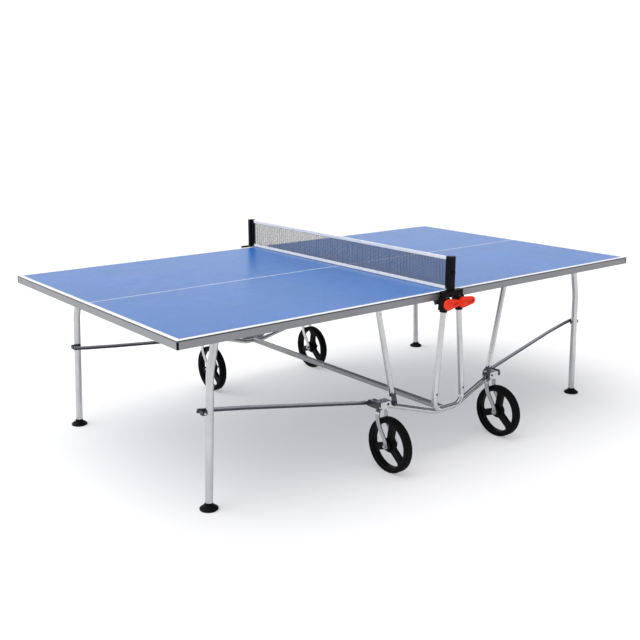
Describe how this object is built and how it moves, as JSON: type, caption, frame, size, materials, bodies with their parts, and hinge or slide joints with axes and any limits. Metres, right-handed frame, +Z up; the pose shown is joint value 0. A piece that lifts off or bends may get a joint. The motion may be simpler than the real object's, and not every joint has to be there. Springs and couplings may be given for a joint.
{
  "type": "folding ping pong table",
  "caption": "Rollaway table tennis table: folding halves on a wheeled base with U-frames, guide links, folding end legs, struts, latch levers and a net across the middle.",
  "frame": {"origin": "on the floor, at the middle of the whole footprint. The net stands at X 0. The long centre line of the table is at Y +43.5 mm, because all four casters trail towards -Y and widen the footprint on that side.", "axes": "+X along the table towards the right half, +Y across the table away from the near side, +Z up"},
  "size_m": [2.74, 1.729, 0.914],
  "materials": {
    "board": "satin blue playing board",
    "line_white": "white inlaid line",
    "apron_grey": "silver grey coated steel",
    "steel_tube": "light silver galvanised and lacquered steel",
    "strut_steel": "mid grey plated steel, dark towards the pivot",
    "dark_steel": "dark coated steel",
    "black_plastic": "moulded black plastic",
    "tyre_rubber": "black solid tyre",
    "orange_plastic": "orange red moulded plastic",
    "band_white": "white woven tape",
    "net_grey": "dark knotted mesh"
  },
  "bodies": {
    "base": {"u_frames": "steel_tube", "base_arms": "steel_tube", "crossbar": "steel_tube", "caster_brackets": "steel_tube", "base_bolts": "black_plastic", "net_saddles": "black_plastic", "net_posts": "black_plastic", "net_bands": "band_white", "net_mesh": "net_grey"},
    "slider_right": {"slider_blocks_right": "black_plastic"},
    "top_right": {"apron_ends_right": "apron_grey", "apron_sides_right": "apron_grey", "board_right": "board", "court_lines_right": "line_white", "corner_caps_right": "black_plastic", "cross_rails_right": "apron_grey", "fold_plates_right": "steel_tube", "leg_brackets_right": "dark_steel", "link_lugs_right": "dark_steel"},
    "legs_right": {"leg_frame_right": "steel_tube", "leg_lugs_right": "dark_steel"},
    "links_right": {"links_right": "steel_tube", "link_ends_right": "dark_steel"},
    "struts_right": {"struts_right": "strut_steel"},
    "latch_near_right": {"latch_lever_near_right": "orange_plastic"},
    "foot_body_near_right": {"foot_near_right": "black_plastic"},
    "caster_near_right": {"caster_fork_near_right": "steel_tube"},
    "wheel_near_right": {"wheel_rim_near_right": "black_plastic", "wheel_tyre_near_right": "tyre_rubber"},
    "latch_far_right": {"latch_lever_far_right": "orange_plastic"},
    "foot_body_far_right": {"foot_far_right": "black_plastic"},
    "caster_far_right": {"caster_fork_far_right": "steel_tube"},
    "wheel_far_right": {"wheel_rim_far_right": "black_plastic", "wheel_tyre_far_right": "tyre_rubber"},
    "slider_left": {"slider_blocks_left": "black_plastic"},
    "top_left": {"apron_ends_left": "apron_grey", "apron_sides_left": "apron_grey", "board_left": "board", "court_lines_left": "line_white", "corner_caps_left": "black_plastic", "cross_rails_left": "apron_grey", "fold_plates_left": "steel_tube", "leg_brackets_left": "dark_steel", "link_lugs_left": "dark_steel"},
    "legs_left": {"leg_frame_left": "steel_tube", "leg_lugs_left": "dark_steel"},
    "links_left": {"links_left": "steel_tube", "link_ends_left": "dark_steel"},
    "struts_left": {"struts_left": "strut_steel"},
    "latch_near_left": {"latch_lever_near_left": "orange_plastic"},
    "foot_body_near_left": {"foot_near_left": "black_plastic"},
    "caster_near_left": {"caster_fork_near_left": "steel_tube"},
    "wheel_near_left": {"wheel_rim_near_left": "black_plastic", "wheel_tyre_near_left": "tyre_rubber"},
    "latch_far_left": {"latch_lever_far_left": "orange_plastic"},
    "foot_body_far_left": {"foot_far_left": "black_plastic"},
    "caster_far_left": {"caster_fork_far_left": "steel_tube"},
    "wheel_far_left": {"wheel_rim_far_left": "black_plastic", "wheel_tyre_far_left": "tyre_rubber"}
  },
  "joints": [
    {"name": "slide_right", "type": "slide", "parent": "base", "child": "slider_right", "axis": [0.0943, 0, -0.9955], "range_m": [0, 0.39583]},
    {"name": "fold_right", "type": "hinge", "parent": "slider_right", "child": "top_right", "pos_m": [0.04545, 0.0435, 0.718], "axis": [0, -1, 0], "range_deg": [0, 90]},
    {"name": "leg_fold_right", "type": "hinge", "parent": "top_right", "child": "legs_right", "pos_m": [1.112, 0.0435, 0.735], "axis": [0, 1, 0], "range_deg": [0, 68.04]},
    {"name": "link_turn_right", "type": "hinge", "parent": "top_right", "child": "links_right", "pos_m": [0.40271, 0.0435, 0.738], "axis": [0, 1, 0], "range_deg": [0, 45.44]},
    {"name": "strut_turn_right", "type": "hinge", "parent": "base", "child": "struts_right", "pos_m": [0.3634, 0.0435, 0.295], "axis": [0, -1, 0], "range_deg": [0, 90.22]},
    {"name": "latch_turn_near_right", "type": "hinge", "parent": "slider_right", "child": "latch_near_right", "pos_m": [0.04545, -0.7695, 0.709], "axis": [0, -1, 0], "range_deg": [0, 28], "stiffness_Nm_per_rad": 0.3},
    {"name": "foot_adjust_near_right", "type": "slide", "parent": "legs_right", "child": "foot_body_near_right", "axis": [0, 0, -1], "range_m": [0, 0.012]},
    {"name": "swivel_near_right", "type": "hinge", "parent": "base", "child": "caster_near_right", "pos_m": [0.3535, -0.6845, 0.29], "axis": [0, 0, 1], "continuous": true},
    {"name": "roll_near_right", "type": "hinge", "parent": "caster_near_right", "child": "wheel_near_right", "pos_m": [0.3535, -0.7405, 0.124], "axis": [1, 0, 0], "continuous": true},
    {"name": "latch_turn_far_right", "type": "hinge", "parent": "slider_right", "child": "latch_far_right", "pos_m": [0.04545, 0.8565, 0.709], "axis": [0, 1, 0], "range_deg": [0, 28], "stiffness_Nm_per_rad": 0.3},
    {"name": "foot_adjust_far_right", "type": "slide", "parent": "legs_right", "child": "foot_body_far_right", "axis": [0, 0, -1], "range_m": [0, 0.012]},
    {"name": "swivel_far_right", "type": "hinge", "parent": "base", "child": "caster_far_right", "pos_m": [0.3535, 0.7715, 0.29], "axis": [0, 0, 1], "continuous": true},
    {"name": "roll_far_right", "type": "hinge", "parent": "caster_far_right", "child": "wheel_far_right", "pos_m": [0.3535, 0.7155, 0.124], "axis": [1, 0, 0], "continuous": true},
    {"name": "slide_left", "type": "slide", "parent": "base", "child": "slider_left", "axis": [-0.0943, 0, -0.9955], "range_m": [0, 0.39583]},
    {"name": "fold_left", "type": "hinge", "parent": "slider_left", "child": "top_left", "pos_m": [-0.04545, 0.0435, 0.718], "axis": [0, 1, 0], "range_deg": [0, 90]},
    {"name": "leg_fold_left", "type": "hinge", "parent": "top_left", "child": "legs_left", "pos_m": [-1.112, 0.0435, 0.735], "axis": [0, -1, 0], "range_deg": [0, 68.04]},
    {"name": "link_turn_left", "type": "hinge", "parent": "top_left", "child": "links_left", "pos_m": [-0.40271, 0.0435, 0.738], "axis": [0, -1, 0], "range_deg": [0, 45.44]},
    {"name": "strut_turn_left", "type": "hinge", "parent": "base", "child": "struts_left", "pos_m": [-0.3634, 0.0435, 0.295], "axis": [0, 1, 0], "range_deg": [0, 90.22]},
    {"name": "latch_turn_near_left", "type": "hinge", "parent": "slider_left", "child": "latch_near_left", "pos_m": [-0.04545, -0.7695, 0.709], "axis": [0, -1, 0], "range_deg": [0, 28], "stiffness_Nm_per_rad": 0.3},
    {"name": "foot_adjust_near_left", "type": "slide", "parent": "legs_left", "child": "foot_body_near_left", "axis": [0, 0, -1], "range_m": [0, 0.012]},
    {"name": "swivel_near_left", "type": "hinge", "parent": "base", "child": "caster_near_left", "pos_m": [-0.3535, -0.6845, 0.29], "axis": [0, 0, 1], "continuous": true},
    {"name": "roll_near_left", "type": "hinge", "parent": "caster_near_left", "child": "wheel_near_left", "pos_m": [-0.3535, -0.7405, 0.124], "axis": [1, 0, 0], "continuous": true},
    {"name": "latch_turn_far_left", "type": "hinge", "parent": "slider_left", "child": "latch_far_left", "pos_m": [-0.04545, 0.8565, 0.709], "axis": [0, 1, 0], "range_deg": [0, 28], "stiffness_Nm_per_rad": 0.3},
    {"name": "foot_adjust_far_left", "type": "slide", "parent": "legs_left", "child": "foot_body_far_left", "axis": [0, 0, -1], "range_m": [0, 0.012]},
    {"name": "swivel_far_left", "type": "hinge", "parent": "base", "child": "caster_far_left", "pos_m": [-0.3535, 0.7715, 0.29], "axis": [0, 0, 1], "continuous": true},
    {"name": "roll_far_left", "type": "hinge", "parent": "caster_far_left", "child": "wheel_far_left", "pos_m": [-0.3535, 0.7155, 0.124], "axis": [1, 0, 0], "continuous": true}
  ],
  "couplings": [
    {"joint": "slide_right", "follows": "fold_right", "m_per_rad": 0.25198},
    {"joint": "leg_fold_right", "follows": "fold_right", "ratio": 0.75572},
    {"joint": "link_turn_right", "follows": "fold_right", "ratio": 0.50463},
    {"joint": "strut_turn_right", "follows": "fold_right", "ratio": 1.0023},
    {"joint": "slide_left", "follows": "fold_left", "m_per_rad": 0.25198},
    {"joint": "leg_fold_left", "follows": "fold_left", "ratio": 0.75572},
    {"joint": "link_turn_left", "follows": "fold_left", "ratio": 0.50463},
    {"joint": "strut_turn_left", "follows": "fold_left", "ratio": 1.0023}
  ]
}
